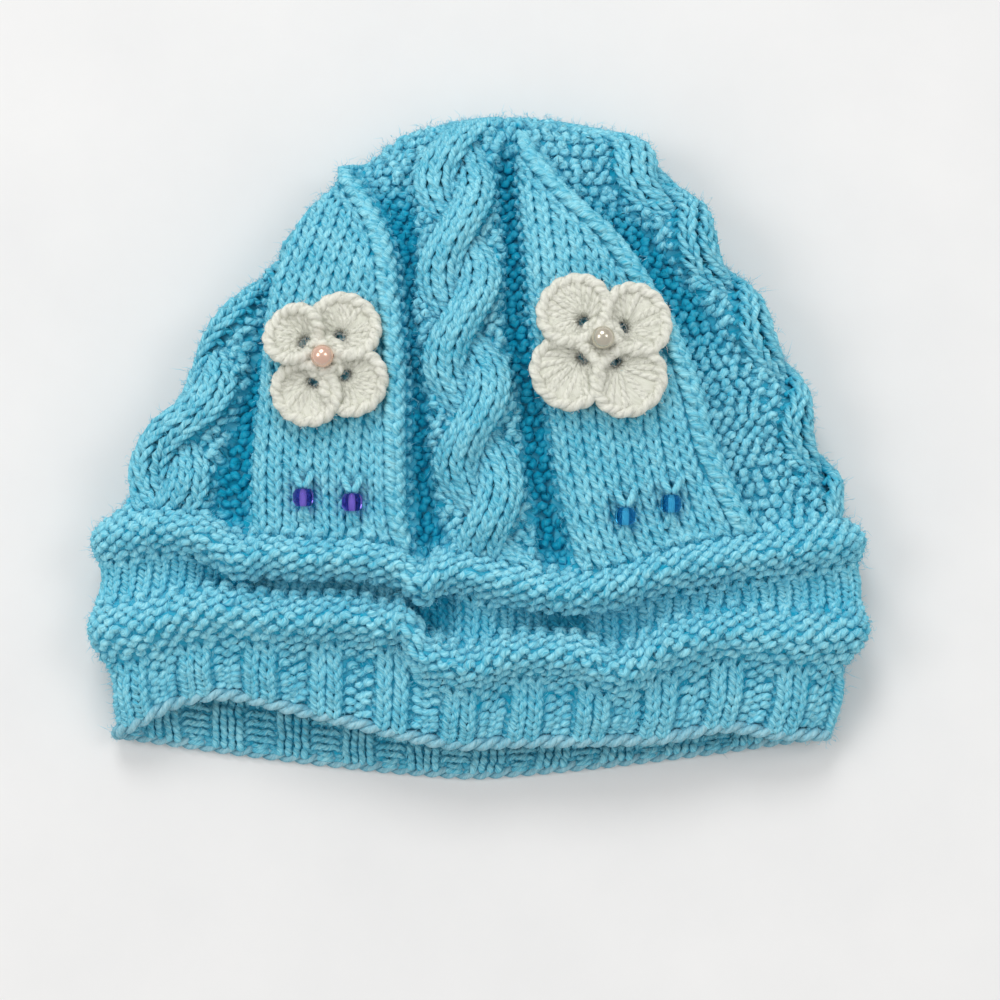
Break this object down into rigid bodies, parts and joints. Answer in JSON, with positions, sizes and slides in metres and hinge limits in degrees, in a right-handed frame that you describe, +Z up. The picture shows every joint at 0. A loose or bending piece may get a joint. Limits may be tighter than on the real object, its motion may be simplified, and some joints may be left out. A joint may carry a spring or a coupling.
{
  "type": "cable knit beanie",
  "caption": "Soft knitted beanie lying on its back: ribbed brim, two rolled welts around a recessed band, and a cabled crown with crocheted flowers, pearls and glass beads.",
  "frame": {"origin": "on the surface that the hat lies on, under the middle of its outline", "axes": "+Z up off the surface, out of the hat's front; +Y towards the crown; +X to the right as seen from above"},
  "size_m": [0.2336, 0.1978, 0.0529],
  "materials": {
    "aqua_yarn": "hand-knitted fuzzy mohair-blend yarn, light aqua blue",
    "cream_yarn": "crocheted cream yarn",
    "pearl": "pearl-coated bead, satin gloss",
    "purple_glass": "faceted translucent purple glass",
    "blue_glass": "faceted translucent blue glass"
  },
  "bodies": {
    "root": {"ribbed_brim": "aqua_yarn", "lower_welt": "aqua_yarn", "band": "aqua_yarn", "upper_welt": "aqua_yarn", "crown": "aqua_yarn", "flower_left": "cream_yarn", "flower_right": "cream_yarn", "pearl_left": "pearl", "pearl_right": "pearl", "bead_purple_1": "purple_glass", "bead_purple_2": "purple_glass", "bead_blue_1": "blue_glass", "bead_blue_2": "blue_glass"}
  },
  "joints": []
}
